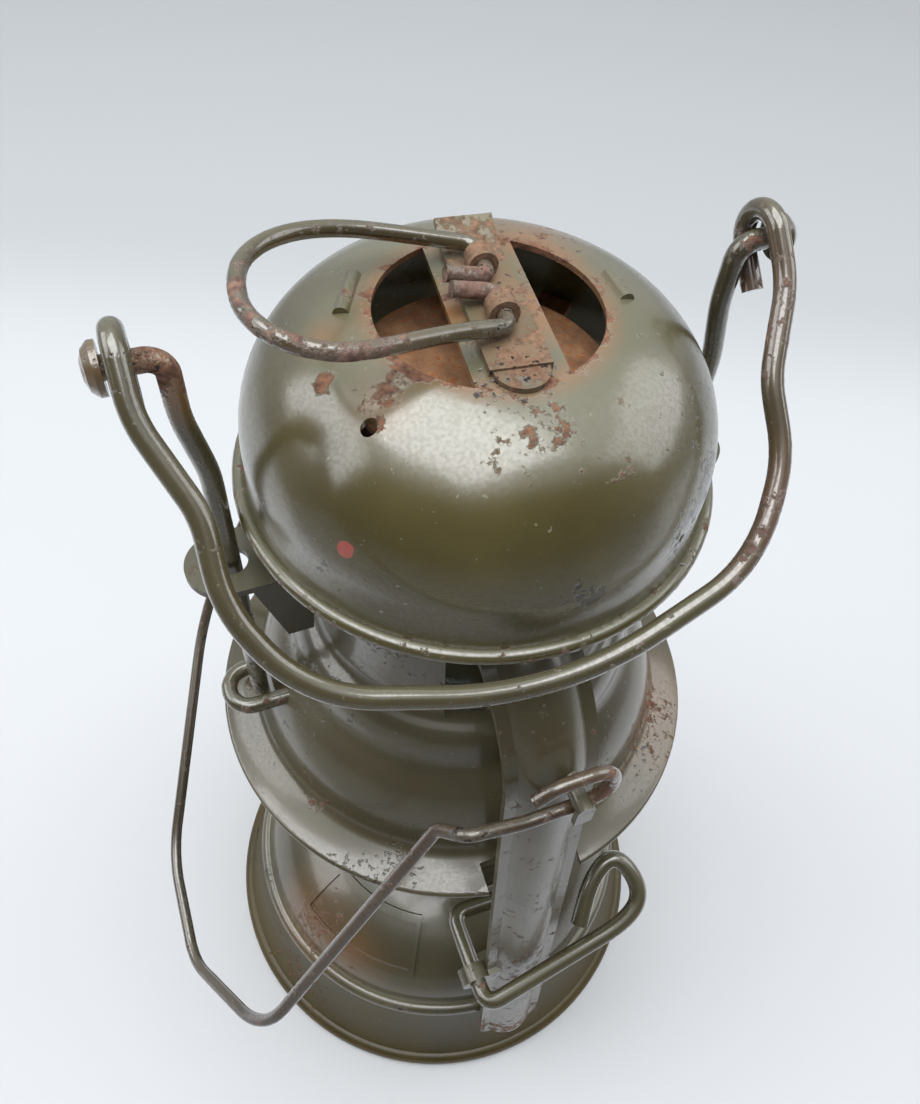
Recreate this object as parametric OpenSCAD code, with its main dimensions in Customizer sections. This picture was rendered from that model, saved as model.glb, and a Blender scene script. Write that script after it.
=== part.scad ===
// Blackout lantern, millimetres, base on the floor at z = 0, side tubes at front and back

/* [Tank] */
// Outer radius of the foot bead
tank_r = 62.5; // [58:0.5:70]
// Radius of the crimped ridge between base and top
ridge_r = 52.2; // [48:0.1:55]
// Height of the seam under the ridge
seam_z = 26; // [20:0.5:32]
// Top height of the shoulder
shoulder_z = 52; // [46:0.5:58]
// Sheet thickness of the tank
tank_wall = 1; // [0.6:0.1:1.6]

/* [Side tubes] */
// Width of the tube body
tube_w = 13.5; // [10:0.5:16]
// Thickness of the tube body
tube_t = 7.2; // [5:0.2:9]
// Width over the seam flanges
seam_w = 17; // [14:0.5:20]
// How far the tube foot stands out from the ridge
foot_out = 5.2; // [4:0.1:7]
// Radius from the axis to the tube at its shoulder
top_r = 46.5; // [44:0.1:49]
// Radius of the crown that both tubes enter
crown_r = 25.2; // [24:0.1:25.2]

/* [Shade] */
// Outer radius of the flat flange
flange_r = 51.4; // [48:0.2:56]
// Height of the flange edge
flange_z = 126; // [120:0.5:130]
// Lift of the shade
shade_lift = 8; // [4:0.5:8]

/* [Hood] */
// Radius of the hood wall
hood_r = 38; // [34:0.2:39]
// Radius over the rolled rim
rim_r = 40.4; // [38:0.1:41]
// Height of the rim bead centre
rim_z = 196.4; // [195:0.1:198]
// Top height of the hood
hood_z = 227.5; // [222:0.5:232]
// Radius of the top openings
mouth_r = 16.9; // [13:0.1:18]
// Width of the bridge between the openings
bridge_w = 13.6; // [11:0.2:15]

/* [Rods and bails] */
// Distance of each rod from the axis
rod_x = 43.1; // [42.8:0.1:46]
// Rod diameter
rod_d = 3.4; // [2.5:0.1:4]
// Height of the rod pins
pin_z = 230.3; // [226:0.1:236]
// Lean of the rod tops to the left
rod_lean = 2.2; // [2.1:0.1:2.4]
// Thick bail wire diameter
bail_d = 3.4; // [2.5:0.1:4]
// Rest angle of the thick bail in front of straight down
bail_rest = 48; // [47:1:60]
// Reach of the thick bail
bail_reach = 56.5; // [54:0.5:62]
// Thin bail wire diameter
thin_d = 2.4; // [1.6:0.1:2.6]
// Rest angle of the thin bail from straight down
thin_rest = 34; // [30:1:45]

/* [Ring and lever] */
// Ring wire diameter
ring_d = 2.5; // [2:0.1:3]
// Rest tilt of the ring
ring_tilt = 11; // [10:1:30]
// Reach of the ring
ring_reach = 35.8; // [30:0.2:42]
// Lever wire diameter
lever_d = 4; // [3:0.1:4.4]

/* [Fits] */
// Radial clearance of running fits
run_gap = 0.05; // [0.02:0.01:0.08]
// Clearance between loose pieces
free_gap = 0.4; // [0.3:0.05:0.8]

/* [Hidden] */
$fn = 64;
lap = 0.02;
foot_r = ridge_r + foot_out;
foot_z = seam_z - 2;
tube_h = 140;
lean = atan((foot_r - top_r) / tube_h);
bend_z = foot_z + tube_h;
tube_bend = top_r - crown_r + 4.7;
bend_c = [top_r - tube_bend * cos(lean), bend_z - tube_bend * sin(lean)];
lens_r = (tube_w * tube_w + tube_t * tube_t) / (4 * tube_t);
tube_wall = 1.1;
port_z = bend_c[1] + tube_bend;
crown_bottom = 172;
crown_top = 194;
chimney_r = 15;
chimney_top = 211;
bracket_z = 184;
bracket_t = 1.4;
bracket_w = 13.4;
pin_r = rod_d / 2;
eye_r = pin_r + bail_d / 2 + 0.95;
eye_x = 47.8;
bail_shift = -3;
bail_skew = 0.03;
rod_bend = 3;
tube_lean = 0.9;
dome_r = 22;
strap_z = hood_z;
strap_t = 1.2;
strap_w = bridge_w - 4.6;
strap_x = 0.6;
ring_y = 1.9;
hood_turn = -6.5;
ring_skew = 0.11;
ring_z = strap_z + strap_t + ring_d / 2 + 0.25;
ear = [-0.3, -top_r - 5.6, bend_z + 5.5];
ear_r = 1.6;
eye_h = 7.4;
kink = [-22.9, -top_r - 1, bend_z];
axle_z = 74.6;
axle = [-12, -tube_at(axle_z) - 7.4, axle_z];
gallery_z = 76;
gallery_r = 33;
crank_z = gallery_z - 4 - free_gap - lever_d / 2;
eye_z = 143.6;
cap_at = (ridge_r - 19.2) * [0.5, 0.866];
cap_z = shoulder_z + free_gap;
knob_turn = 30;
spin_z = 61;

// Radius of the tube centre and its sideways sway at the height z
function tube_at(z) = foot_r - (foot_r - top_r) * (z - foot_z) / tube_h;
function sway(z) = (foot_z - z) * sin(tube_lean);
function unit(v) = v / norm(v);
function mid(a, b, c, t) = (1 - t) * (1 - t) * a + 2 * t * (1 - t) * b + t * t * c;
function curve(a, b, c, n) = [for (i = [0 : n]) mid(a, b, c, i / n)];
function back(p) = [for (i = [len(p) - 1 : -1 : 0]) p[i]];
function bend(p, i) = acos(unit(p[i] - p[i - 1]) * unit(p[i + 1] - p[i]));
function cut(p, r, i) = i == 0 || i == len(p) - 1 ? 0 : r[i] * tan(bend(p, i) / 2);

// Puts children in a frame with the given x and y directions and origin
module place(x, y, o) {
  z = cross(x, y);
  multmatrix([[x[0], y[0], z[0], o[0]], [x[1], y[1], z[1], o[1]], [x[2], y[2], z[2], o[2]], [0, 0, 0, 1]])
    children();
}

// Bent wire along the points p with the bend radii r
module wire(p, r, d) {
  for (i = [0 : len(p) - 2]) {
    u = unit(p[i + 1] - p[i]);
    a = p[i] + u * (cut(p, r, i) - lap);
    b = p[i + 1] - u * (cut(p, r, i + 1) - lap);
    side = unit(cross(u, abs(u[2]) < 0.9 ? [0, 0, 1] : [1, 0, 0]));
    place(side, cross(u, side), a) cylinder(d = d, h = norm(b - a));
  }
  for (i = [1 : len(p) - 2]) {
    u = unit(p[i] - p[i - 1]);
    v = unit(p[i + 1] - p[i]);
    n = unit(v - (u * v) * u);
    place(-n, u, p[i] - u * cut(p, r, i) + n * r[i])
      rotate_extrude(angle = bend(p, i)) translate([r[i], 0]) circle(d = d - lap);
  }
}

// Outline of the tank's outside, for cutting the tube feet
module tank_form() {
  rotate_extrude() {
    polygon(concat([[0, 0], [tank_r - 2.4, 0]], wall_line(0), [[0, seam_z]]));
    polygon(concat([[0, seam_z], [ridge_r - 0.4, seam_z]], shoulder_line(0), [[0, shoulder_z]]));
    translate([ridge_r, seam_z + 2]) circle(r = 2.2);
    translate([tank_r - 2.4, 2.2]) circle(r = 2.4);
  }
}
function wall_line(d) = curve([tank_r - 2.1 - d, 4.2], [tank_r - 7 - d, 9], [ridge_r + 1.2 - d, seam_z], 8);
function shoulder_line(d) = curve([ridge_r - 0.4 - d, seam_z + 2], [ridge_r - 4.2 - d, seam_z + 21 - d],
  [18, shoulder_z - d], 12);

module tank_base() color([0.36, 0.37, 0.30]) rotate_extrude() {
  polygon(concat(wall_line(0), back(wall_line(tank_wall + 0.2))));
  intersection() {
    translate([tank_r - 2.4, 2.2]) circle(r = 2.4);
    square([tank_r + 5, 10]);
  }
  translate([0, 2.4]) square([tank_r - 2.4, tank_wall]);
}

module tank_top() color([0.37, 0.38, 0.31]) difference() {
  union() {
    rotate_extrude() {
      intersection() {
        translate([ridge_r, seam_z + 2]) circle(r = 2.2);
        translate([ridge_r - 5, seam_z]) square([10, 10]);
      }
      polygon(concat(shoulder_line(0), back(shoulder_line(tank_wall))));
    }
    panel_frame();
  }
  translate([cap_at[0], cap_at[1], seam_z]) cylinder(r = 9, h = 40);
}

// Raised border of the bare name panel
module panel_frame() {
  rotate([0, 0, -165]) rotate_extrude(angle = 46) {
    panel_band(0.30, 0.35);
    panel_band(0.66, 0.71);
  }
  for (a = [-165, -121]) rotate([0, 0, a]) rotate_extrude(angle = 2) panel_band(0.31, 0.70);
}
function shoulder_at(t) = mid([ridge_r - 0.4, seam_z + 2], [ridge_r - 4.2, seam_z + 21], [18, shoulder_z], t);
module panel_band(a, b) polygon(concat([for (i = [0 : 6]) shoulder_at(a + (b - a) * i / 6) + [0.4, 0.4]],
  [for (i = [6 : -1 : 0]) shoulder_at(a + (b - a) * i / 6) - [0.4, 0.4]]));

module filler_neck() color([0.55, 0.5, 0.36]) translate([cap_at[0], cap_at[1], 0]) difference() {
  translate([0, 0, cap_z - 10.4]) cylinder(r = 9, h = 12);
  translate([0, 0, cap_z - 12]) cylinder(r = 7.5, h = 20);
}

module filler_cap() color([0.42, 0.42, 0.36]) translate([cap_at[0], cap_at[1], 0]) difference() {
  union() {
    translate([0, 0, cap_z]) cylinder(r = 11.5, h = 3.6);
    translate([0, 0, cap_z + 3.6]) cylinder(r = 10, h = 1.5);
  }
  translate([0, 0, cap_z - 1]) cylinder(r = 9 + run_gap, h = 3.6);
  for (i = [0 : 17]) rotate([0, 0, i * 20]) translate([12.1, 0, cap_z - 1]) cylinder(r = 1, h = 6);
}

module cap_gasket() color([0.2, 0.17, 0.14]) translate([cap_at[0], cap_at[1], cap_z + 1.9]) difference() {
  cylinder(r = 8.8, h = 0.7);
  translate([0, 0, -1]) cylinder(r = 6, h = 3);
}

module burner_collar() color([0.6, 0.55, 0.35]) rotate_extrude() {
  translate([16, shoulder_z - tank_wall]) square([2, 5]);
}

module burner_body() color([0.66, 0.58, 0.34]) difference() {
  rotate_extrude() {
    translate([0, shoulder_z + 4]) square([18.5, 1.6]);
    translate([0, shoulder_z - 2]) square([15.8, 6.5]);
    translate([13.4, shoulder_z + 5]) square([1.4, 12]);
  }
  rotate([0, 0, knob_turn]) {
    translate([-7.4, -2.4, 40]) cube([14.8, 4.8, 30]);
    translate([0, -3.6, spin_z]) rotate([0, 90, 0]) cylinder(r = 1.2 + run_gap, h = 30);
  }
}

module burner_cone() color([0.68, 0.6, 0.36]) difference() {
  rotate_extrude() {
    translate([13.4, shoulder_z + 17]) square([1.4, 2]);
    polygon([[14.8, shoulder_z + 19], [9, shoulder_z + 29], [0, shoulder_z + 31], [0, shoulder_z + 30],
      [8.4, shoulder_z + 28], [13.4, shoulder_z + 19]]);
    translate([11.6, gallery_z - free_gap - 1.2]) square([9, 1.2]);
  }
  rotate([0, 0, knob_turn]) translate([-7.5, -2.4, 60]) cube([15, 4.8, 40]);
}

module wick_tube() color([0.62, 0.54, 0.32]) rotate([0, 0, knob_turn]) difference() {
  union() {
    translate([-7.1, -2.1, 66.5]) cube([14.2, 4.2, 13]);
    translate([-13.4, -1.2, 66.5]) cube([26.8, 2.4, 1.5]);
  }
  translate([-6, -1.2, 60]) cube([12, 2.4, 30]);
}

module wick() color([0.85, 0.82, 0.72]) rotate([0, 0, knob_turn]) translate([-5.5, -0.8, 12])
  cube([11, 1.6, 66.5]);

module wick_spindle() color([0.6, 0.56, 0.42]) rotate([0, 0, knob_turn]) translate([0, -3.6, spin_z])
  rotate([0, 90, 0]) {
    translate([0, 0, -6]) cylinder(r = 1.2, h = 46);
    for (k = [-3, 3]) translate([0, 0, k]) star();
  }
module star() for (i = [0 : 5]) rotate([0, 0, i * 30]) translate([-2.2, -0.35, -0.7]) cube([4.4, 0.7, 1.4]);

module wick_knob() color([0.6, 0.56, 0.42]) rotate([0, 0, knob_turn]) translate([40, -3.6, spin_z])
  rotate([0, 90, 0]) difference() {
    cylinder(r = 8, h = 2);
    for (i = [0 : 23]) rotate([0, 0, i * 15]) translate([8.4, 0, -1]) cylinder(r = 0.8, h = 4);
  }

module globe_gallery() color([0.45, 0.45, 0.38]) {
  difference() {
    rotate_extrude() {
      translate([17, gallery_z]) square([gallery_r - 17, 1.2]);
      translate([gallery_r, gallery_z - 4]) square([1.2, 16]);
      for (h = [-3, 5, 11]) translate([gallery_r + 0.8, gallery_z + h]) circle(r = 0.9);
    }
    for (i = [0 : 23]) rotate([0, 0, i * 15]) translate([21.5, 0, 70]) cylinder(r = 1.7, h = 10);
  }
}

module glass_globe() color([0.9, 0.93, 0.9, 0.35]) rotate_extrude()
  polygon(concat(curve([27, gallery_z + 1.2], [40, 105], [25.4, 138], 14), [[23, 156], [22.6, 166]],
    [[20.8, 166], [21.2, 156]], back(curve([25, gallery_z + 1.2], [38.1, 105], [23.6, 138], 14))));

module globe_lever() color([0.35, 0.35, 0.29]) {
  hook = [[36.5, 3.5, 15.4], [40.8, 8.1, 19.4], [37.2, 16.5, 24], [30.6, 14.3, 20.8], [24.8, 6.7, 13.9]];
  wire(concat([[16, 4 - gallery_r, crank_z], [16, -gallery_r - 5, crank_z],
    [axle[0], -gallery_r - 5.4, axle_z], axle], [for (q = hook) axle + q]),
    [0, 3.4, 3.4, 3.6, 4.4, 4, 4, 4, 0], lever_d);
}

// Section of a side tube, x outwards and y across
module tube_section(s) {
  difference() {
    union() {
      lens(lens_r - s);
      square([1.4 - s, seam_w - s], center = true);
    }
    lens(lens_r - tube_wall + s);
  }
}
module lens(r) intersection() {
  translate([lens_r - tube_t / 2, 0]) circle(r = r);
  translate([tube_t / 2 - lens_r, 0]) circle(r = r);
}

// One side tube, standing out along +x
module side_tube() {
  difference() {
    translate([0, 0, foot_z]) rotate([tube_lean, 0, 0]) translate([0, 0, -foot_z]) {
      translate([foot_r, 0, foot_z]) rotate([0, -lean, 0]) {
        linear_extrude(height = norm([foot_r - top_r, tube_h]) + lap) tube_section(0);
        translate([0, 0, -1]) linear_extrude(height = 3) lens(lens_r);
        for (k = [-1, 1]) translate([0.7, k * (seam_w / 2 - 4), 0]) rotate([0, -90, 0])
          cylinder(r = 4, h = 1.4);
        translate([-12, -5.5, 3]) cube([11, 11, 22]);
      }
      translate([bend_c[0], 0, bend_c[1]]) rotate([0, -lean, 0]) rotate([90, 0, 0]) rotate_extrude(angle = 86)
        translate([tube_bend, 0]) tube_section(2 * lap);
    }
    tank_form();
    translate([0, 0, 150]) cylinder(r = crown_r, h = 60);
  }
  // ear for the thin bail
  translate([-ear[1] + 2.9, ear[0], ear[2]]) {
    rotate([0, -90, 0]) cylinder(r = ear_r, h = 8);
    translate([-1.1, -ear_r, -4.4]) cube([1.1, 2 * ear_r, 4.4]);
  }
}

module tube_front() color([0.38, 0.38, 0.32]) {
  rotate([0, 0, -90]) side_tube();
  // bearing of the globe lever
  translate([axle[0], 2 - tube_at(axle_z), axle_z]) difference() {
    union() {
      rotate([90, 0, 0]) cylinder(r = lever_d / 2 + 1.8, h = 3.8);
      translate([0, -3.8, -3.4]) cube([6, 3.8, 6]);
    }
    translate([0, 12, 0]) rotate([90, 0, 0]) cylinder(r = lever_d / 2 + run_gap, h = 30);
  }
}

module tube_back() color([0.38, 0.38, 0.32]) mirror([0, 1, 0]) rotate([0, 0, -90]) side_tube();

module crown() color([0.33, 0.33, 0.28]) difference() {
  rotate_extrude() {
    translate([crown_r - 1.2, crown_bottom + 1]) square([1.2, crown_top - crown_bottom - 1]);
    translate([crown_r - 0.3, crown_bottom + 1]) circle(r = 1.1);
    translate([chimney_r - 1, crown_top - 1.2]) square([crown_r - chimney_r + 1, 1.2]);
  }
  for (k = [0, 180]) rotate([0, 0, k]) translate([0, 0, port_z]) rotate([90, 0, 0]) cylinder(r = 2.3, h = 40);
}

module chimney() color([0.30, 0.27, 0.22]) rotate_extrude()
  translate([chimney_r - 1, crown_top]) square([1, chimney_top - crown_top]);

module guide_bracket() color([0.36, 0.34, 0.28]) for (k = [0, 180]) rotate([0, 0, k]) difference() {
  union() {
    translate([0, -bracket_w / 2, bracket_z]) cube([rod_x + 1, bracket_w, bracket_t]);
    translate([rod_x + 1, 0, bracket_z]) cylinder(d = bracket_w, h = bracket_t);
    for (e = [-1, 1]) translate([0, e * (bracket_w / 2 - 0.6) + 0.6, bracket_z]) rotate([90, 0, 0])
      linear_extrude(height = 1.2) polygon([[30.5, 0.1], [41, 0.1], [36.4, -15], [31.8, -15]]);
  }
  cylinder(r = crown_r, h = 300);
  translate([rod_x, 0, 100]) cylinder(r = pin_r + 1.2, h = 120);
}

// Outline of the shade from the flange edge up two rounded steps to the neck
function step(x, z) = [flange_r - x, flange_z + z];
neck_top = [crown_r + 2.8, crown_bottom + 3.4];
function shade_line() = concat([step(0, 0)], curve(step(6, 2.3), step(8.1, 3.2), step(8.4, 5.6), 5),
  curve(step(8.4, 5.6), step(8.8, 15.5), step(14.8, 21.2), 10),
  curve(step(14.8, 21.2), step(16.6, 22.8), step(16.9, 24.8), 4),
  curve(step(16.9, 24.8), step(17.4, 30), step(20.8, 31.6), 8),
  curve(step(20.8, 31.6), step(22.4, 32.6), step(22.6, 34.6), 4));
module shade() color([0.42, 0.42, 0.36]) difference() {
  rotate_extrude() {
    neck_in = crown_r + free_gap;
    polygon(concat(shade_line(), [neck_top, [neck_in, neck_top[1]], [neck_in, neck_top[1] - 1],
      neck_top - [1, 1]], back([for (q = shade_line()) q - [1, 0.8]])));
    translate([flange_r - 0.5, flange_z - 0.6]) circle(r = 0.8);
  }
  for (k = [0, 1]) mirror([0, k, 0]) {
    translate([sway(flange_z) - seam_w / 2 - 1.4, -top_r - 20, flange_z - 10]) cube([seam_w + 2.8, 21.9, 30]);
    translate([sway(183) - seam_w / 2 - 2.4, -40, 158.4]) cube([seam_w + 4.8, 40, 30]);
  }
}

module shade_eyes() color([0.33, 0.33, 0.28]) for (k = [0, 180]) rotate([0, 0, k])
  wire([[36.4, -4.4, eye_z], [rod_x + 6, -4.4, eye_z], [rod_x + 6, 4.4, eye_z],
    [36.4, 4.4, eye_z]], [0, 4.2, 4.2, 0], 3.2);

// One rod, s is -1 for the left and 1 for the right
module rod(s) {
  top_x = s * rod_x - rod_lean;
  wire([[s * rod_x, 0, eye_z - 2.3], [s * rod_x, 0, rim_z + 11], [top_x, 0, pin_z - 11], [top_x, 0, pin_z],
    [s * (eye_x + 3) + bail_shift, 0, pin_z]], [0, 30, 30, rod_bend, 0], rod_d);
  difference() {
    translate([s * rod_x, 0, eye_z - 2.3]) cylinder(r = 3.5, h = 0.8);
    cylinder(r = rod_x - 1.8, h = pin_z);
  }
  translate([s * (eye_x + bail_d / 2 + free_gap + 0.2) + bail_shift, 0, pin_z]) rotate([0, s * 90, 0])
    rotate_extrude() polygon([[0, 0], [3.7, 0], [3.7, 0.9], [2.8, 1.9], [1.4, 2.4], [0, 2.4]]);
}
module rod_left() color([0.34, 0.32, 0.27]) rod(-1);
module rod_right() color([0.34, 0.32, 0.27]) rod(1);

// One half of the thick bail: hook over the pin, neck, shoulder and bow
function bail_half() = [[eye_x, -1, 7], [eye_x, -1, -eye_r], [eye_x, 1, -eye_r], [eye_x, 1, 7.5],
  [42.4, 1, 21], [42.4, 1, 33], [34.6, 1, bail_reach - 9]];
function skewed(s) = [for (q = bail_half()) [s * q[0] - bail_skew * max(q[2], 0), q[1] * eye_r, q[2]]];
module thick_bail() color([0.36, 0.36, 0.29]) translate([bail_shift, 0, pin_z])
  rotate([180 - bail_rest, 0, 0]) {
  turn = eye_r - 0.1;
  wire(concat(skewed(-1), [[-1.6, eye_r, bail_reach + 1.2]], back(skewed(1))),
    [0, turn, turn, 18, 16, 20, 22, 60, 22, 20, 16, 18, turn, turn, 0], bail_d);
}

function hang(s, t) = [kink[0] - t * sin(thin_rest), s, kink[2] - t * cos(thin_rest)];
module thin_bail() color([0.35, 0.33, 0.27]) {
  er = ear_r + thin_d / 2 + free_gap;
  eye = [[-8.4, 0, eye_h - 2.6], [-5, 0, eye_h], [5.8, 0, eye_h], [5.8, 0, -er], [-9, 0, -er],
    [-19, 0.5, -er + 1.6]];
  bow = [kink, hang(-55.5, 66), hang(-33, 87), hang(-8, 87), hang(37, 48), kink + [0, -2 * kink[1], 0]];
  far_eye = [for (q = back(eye)) [ear[0] + q[0], -ear[1] - q[1], ear[2] + q[2]]];
  wire(concat([for (q = eye) ear + q], bow, far_eye),
    [0, 4, 5, 5, 12, 3, 3, 18, 12, 20, 40, 3, 3, 12, 5, 5, 4, 0], thin_d);
}

module hood() color([0.40, 0.41, 0.34]) {
  difference() {
    rotate_extrude() {
      difference() {
        hood_outline(0);
        hood_outline(1);
      }
      translate([rim_r - 1.2, rim_z]) circle(r = 1.2);
    }
    for (k = [0, 180]) rotate([0, 0, k + hood_turn]) intersection() {
      translate([0, 0, hood_z - 5]) cylinder(r = mouth_r, h = 10);
      translate([bridge_w / 2 + (k == 0 ? strap_x : -strap_x), -30, hood_z - 5]) cube([30, 60, 10]);
    }
    rotate([0, 0, -147]) translate([27, 0, 200]) cylinder(r = 1.2, h = 30);
  }
  // curled ends of the spider's tongues
  for (q = [[6, 6.4], [158.5, 9]]) rotate([0, 0, q[0] + hood_turn]) translate([20.6, q[1] / 2, hood_z - 0.9])
    rotate([90, 0, 0]) cylinder(r = 1.3, h = q[1]);
}
module hood_outline(d) {
  polygon([[0, rim_z], [rim_r - 1.6 - d, rim_z], [hood_r - d, rim_z + 3], [hood_r - d, hood_z - dome_r],
    [hood_r - dome_r, hood_z - d], [0, hood_z - d]]);
  translate([hood_r - dome_r, hood_z - dome_r]) intersection() {
    circle(r = dome_r - d);
    square(dome_r);
  }
}

module hood_spider() color([0.34, 0.28, 0.22]) difference() {
  union() {
    rotate_extrude() translate([chimney_r + run_gap, crown_top + free_gap]) square([1.2, 19.2]);
    for (a = [0 : 90 : 270]) rotate([0, 0, a + 45]) translate([chimney_r + 0.8, -3, 203])
      cube([hood_r, 6, 1.4]);
  }
  difference() {
    translate([0, 0, 190]) cylinder(r = 60, h = 20);
    cylinder(r = hood_r - 1, h = 300);
  }
  for (a = [0 : 90 : 270]) rotate([0, 0, a]) translate([10, -4, 205.5]) cube([10, 8, 6.5]);
}

module baffle() color([0.48, 0.30, 0.18]) translate([0, 0, crown_top + free_gap + 19.2])
  cylinder(r = 20.5, h = 1);

module top_strap() color([0.44, 0.30, 0.20]) rotate([0, 0, hood_turn]) translate([strap_x, 0, 0]) {
  translate([-strap_w / 2, -14, strap_z]) cube([strap_w, 28, strap_t]);
  for (k = [-1, 1]) difference() {
    union() {
      translate([0, ring_y + k * 5.6 + 1.5, ring_z]) rotate([90, 0, 0]) cylinder(r = ring_d / 2 + 1, h = 3);
      translate([-2, ring_y + k * 5.6 - 1.5, strap_z + 0.5]) cube([4, 3, ring_z - strap_z - 0.5]);
    }
    translate([0, ring_y + k * 5.6 + 5, ring_z]) rotate([90, 0, 0])
      cylinder(r = ring_d / 2 + run_gap, h = 10);
  }
  difference() {
    translate([0, -14, strap_z]) cylinder(r = 4, h = 0.8);
    translate([-6, -14, strap_z - 1]) cube([12, 10, 4]);
  }
  translate([-strap_w / 2, 13.6, strap_z + 0.1]) rotate([24, 0, 0]) cube([strap_w, 5.4, 1]);
}

function half_ring(s) = [for (q = [[0, 1.8], [0, 9.6], [-13, 10], [-21, 12.6], [-ring_reach, 11]])
  [q[0], s * q[1] + ring_skew * q[0], 0]];
module ring_handle() color([0.42, 0.34, 0.28]) rotate([0, 0, hood_turn]) translate([strap_x, ring_y, ring_z])
  rotate([0, ring_tilt, 0])
    wire(concat([[-6.5, -1.8, 0]], half_ring(-1), back(half_ring(1)), [[-6.5, 1.8, 0]]),
    [0, 1.7, 2.2, 9, 9, 9.5, 9.5, 9, 9, 2.2, 1.7, 0], ring_d);

tank_base();
tank_top();
filler_neck();
filler_cap();
cap_gasket();
burner_collar();
burner_body();
burner_cone();
wick_tube();
wick();
wick_spindle();
wick_knob();
globe_gallery();
glass_globe();
globe_lever();
tube_front();
tube_back();
crown();
chimney();
guide_bracket();
shade();
shade_eyes();
rod_left();
rod_right();
thick_bail();
thin_bail();
hood();
hood_spider();
baffle();
top_strap();
ring_handle();
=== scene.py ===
"""Looks of the blackout lantern: worn olive enamel, rusted wire and strap, on a pale studio floor."""
from math import cos, pi, radians, sin

import bpy
from mathutils import Matrix, Vector


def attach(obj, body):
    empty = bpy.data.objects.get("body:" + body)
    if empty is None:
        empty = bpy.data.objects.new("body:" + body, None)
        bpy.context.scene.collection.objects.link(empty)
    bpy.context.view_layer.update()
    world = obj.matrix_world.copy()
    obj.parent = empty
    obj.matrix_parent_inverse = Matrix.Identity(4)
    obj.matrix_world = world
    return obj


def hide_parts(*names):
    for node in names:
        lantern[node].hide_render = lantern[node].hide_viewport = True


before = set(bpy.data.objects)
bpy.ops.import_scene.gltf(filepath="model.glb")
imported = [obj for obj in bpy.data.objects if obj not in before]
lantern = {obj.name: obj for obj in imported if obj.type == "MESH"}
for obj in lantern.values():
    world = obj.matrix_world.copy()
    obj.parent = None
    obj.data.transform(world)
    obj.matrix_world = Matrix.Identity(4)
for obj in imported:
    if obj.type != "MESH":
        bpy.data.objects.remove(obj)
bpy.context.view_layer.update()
MM = 0.001
# sockets of a Mix node: its factor, its two numbers, its two colours, and the colour that it gives
FACTOR, NUMBER_A, NUMBER_B, COLOUR_A, COLOUR_B = 0, 2, 3, 6, 7
MIXED = 2


def linear(code):
    """The linear colour of an sRGB hex value."""
    parts = [int(code[i:i + 2], 16) / 255 for i in (1, 3, 5)]
    return tuple(c / 12.92 if c <= 0.04045 else ((c + 0.055) / 1.055) ** 2.4 for c in parts) + (1.0,)


def add(tree, kind, inputs=None, **settings):
    """Adds one node, with its settings, and sets or links its inputs."""
    made = tree.nodes.new(kind)
    for name, value in settings.items():
        setattr(made, name, value)
    for name, value in (inputs or {}).items():
        if isinstance(value, bpy.types.NodeSocket):
            tree.links.new(value, made.inputs[name])
        else:
            made.inputs[name].default_value = value
    return made


def per_mm(size):
    """Noise scale whose features are about that many millimetres across."""
    return 1 / (size * MM)


def new_material(name):
    """An empty material, its tree and the object's own coordinates in metres."""
    finish = bpy.data.materials.new(name)
    finish.use_nodes = True
    tree = finish.node_tree
    tree.nodes.clear()
    place = add(tree, "ShaderNodeTexCoord").outputs["Object"]
    return finish, tree, place


def spread(tree, place, spots, zones):
    """How much rust or wear belongs at a place: round spots and level zones, added up."""
    fields = []
    for centre, reach, amount in spots:
        away = add(tree, "ShaderNodeVectorMath", {0: place, 1: Vector(centre) * MM}, operation="DISTANCE")
        fields.append((away.outputs["Value"], reach, amount))
    if zones:
        height = add(tree, "ShaderNodeSeparateXYZ", {0: place}).outputs["Z"]
        flat = add(tree, "ShaderNodeVectorMath", {0: place, 1: (1, 1, 0)}, operation="MULTIPLY")
        radius = add(tree, "ShaderNodeVectorMath", {0: flat.outputs[0]}, operation="LENGTH").outputs["Value"]
    for axis, level, reach, amount in zones:
        off = add(tree, "ShaderNodeMath", {0: height if axis == "z" else radius, 1: level * MM},
                  operation="SUBTRACT")
        off = add(tree, "ShaderNodeMath", {0: off.outputs[0]}, operation="ABSOLUTE")
        fields.append((off.outputs[0], reach, amount))
    total = None
    for away, reach, amount in fields:
        field = add(tree, "ShaderNodeMapRange", {"Value": away, "From Min": 0.0, "From Max": reach * MM,
                                                 "To Min": amount, "To Max": 0.0}).outputs[0]
        total = field if total is None else add(tree, "ShaderNodeMath", {0: total, 1: field}).outputs[0]
    return total


# enamel: real sizes of its patterns, in mm
DRIFT_MM = 24
PATCH_MM = 17
WAVE_MM = 26
GRAIN_MM = 2.4
SPECK_MM = 1.1
FINE_MM = 0.6
# enamel: where in its patterns each kind of wear starts and is full
RUST_EDGE = {"From Min": 0.68, "From Max": 0.80}
PINHOLE_EDGE = {"From Min": 1.26, "From Max": 1.34}
BARE_EDGE = {"From Min": 0.86, "From Max": 1.16}
DRIFT_EDGE = {"From Min": 0.3, "From Max": 0.7}
SKYWARD_EDGE = {"From Min": 0.7, "From Max": 1.0}
FLECK_EDGE = {"From Min": 0.69, "From Max": 0.75}
DAB_EDGE = {"From Min": 0.72, "From Max": 0.8}
PITTED_EDGE = {"From Min": 0.4, "From Max": 0.62}
FLAKE_EDGE = {"From Min": 0.35, "From Max": 0.65}
SPECK_IN_BARE = 0.35
GRAIN_IN_DAB = 0.8
MOST_BLEED = 0.85
CHALK_AND_TOP_LIGHT_TINT = "#7f806a"
FLECK_TINT = "#a3a18c"
PINHOLE_TINT = "#2b231b"
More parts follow.
